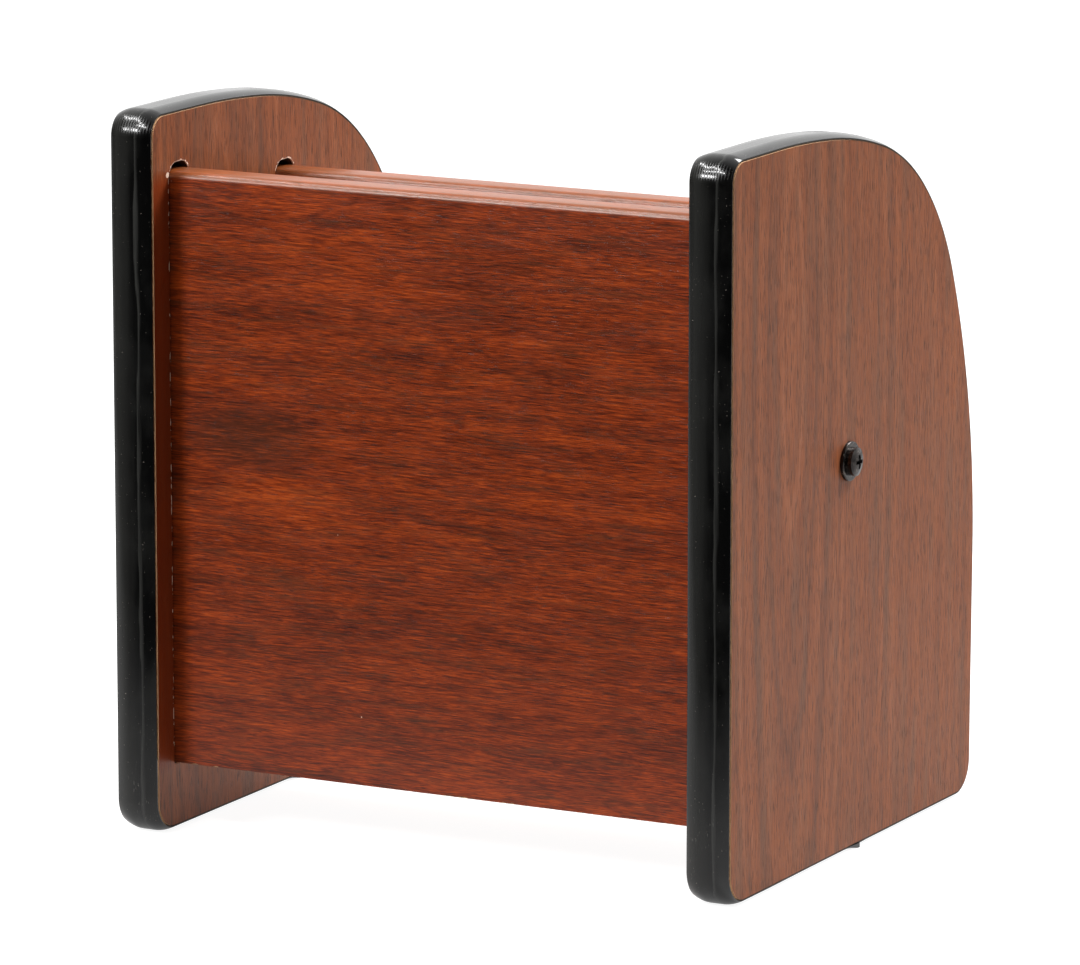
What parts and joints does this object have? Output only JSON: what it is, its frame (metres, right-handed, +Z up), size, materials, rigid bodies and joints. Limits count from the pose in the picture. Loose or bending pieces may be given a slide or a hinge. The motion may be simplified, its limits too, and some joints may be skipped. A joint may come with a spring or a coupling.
{
  "type": "photo album stand",
  "caption": "Free-standing photo album stand: upright wood-look end panels with round black edge trim hold parallel dividing boards, with open bays between and behind them.",
  "frame": {"origin": "middle of the bounding box in X and Y, on the surface that the stand rests on", "axes": "+X to the right seen from the front, +Y to the back, +Z up"},
  "size_m": [0.2404, 0.1926, 0.2486],
  "materials": {
    "particle_core": "raw particle board, matt, seen only as a thin rim and along lower edges",
    "end_laminate": "satin wood-look laminate with upright grain",
    "board_foil": "satin wood-look foil with level grain, wrapped over the top edge",
    "edge_trim": "glossy black moulded strip",
    "black_screw": "black plated steel, semi-gloss"
  },
  "bodies": {
    "root": {"front_board_core": "particle_core", "front_board_foil": "board_foil", "left_edge_trim": "edge_trim", "left_end_core": "particle_core", "left_end_inner_laminate": "end_laminate", "left_end_outer_laminate": "end_laminate", "left_screw": "black_screw", "left_washer": "black_screw", "rear_board_core": "particle_core", "rear_board_foil": "board_foil", "right_edge_trim": "edge_trim", "right_end_core": "particle_core", "right_end_inner_laminate": "end_laminate", "right_end_outer_laminate": "end_laminate", "right_screw": "black_screw", "right_washer": "black_screw"}
  },
  "joints": []
}
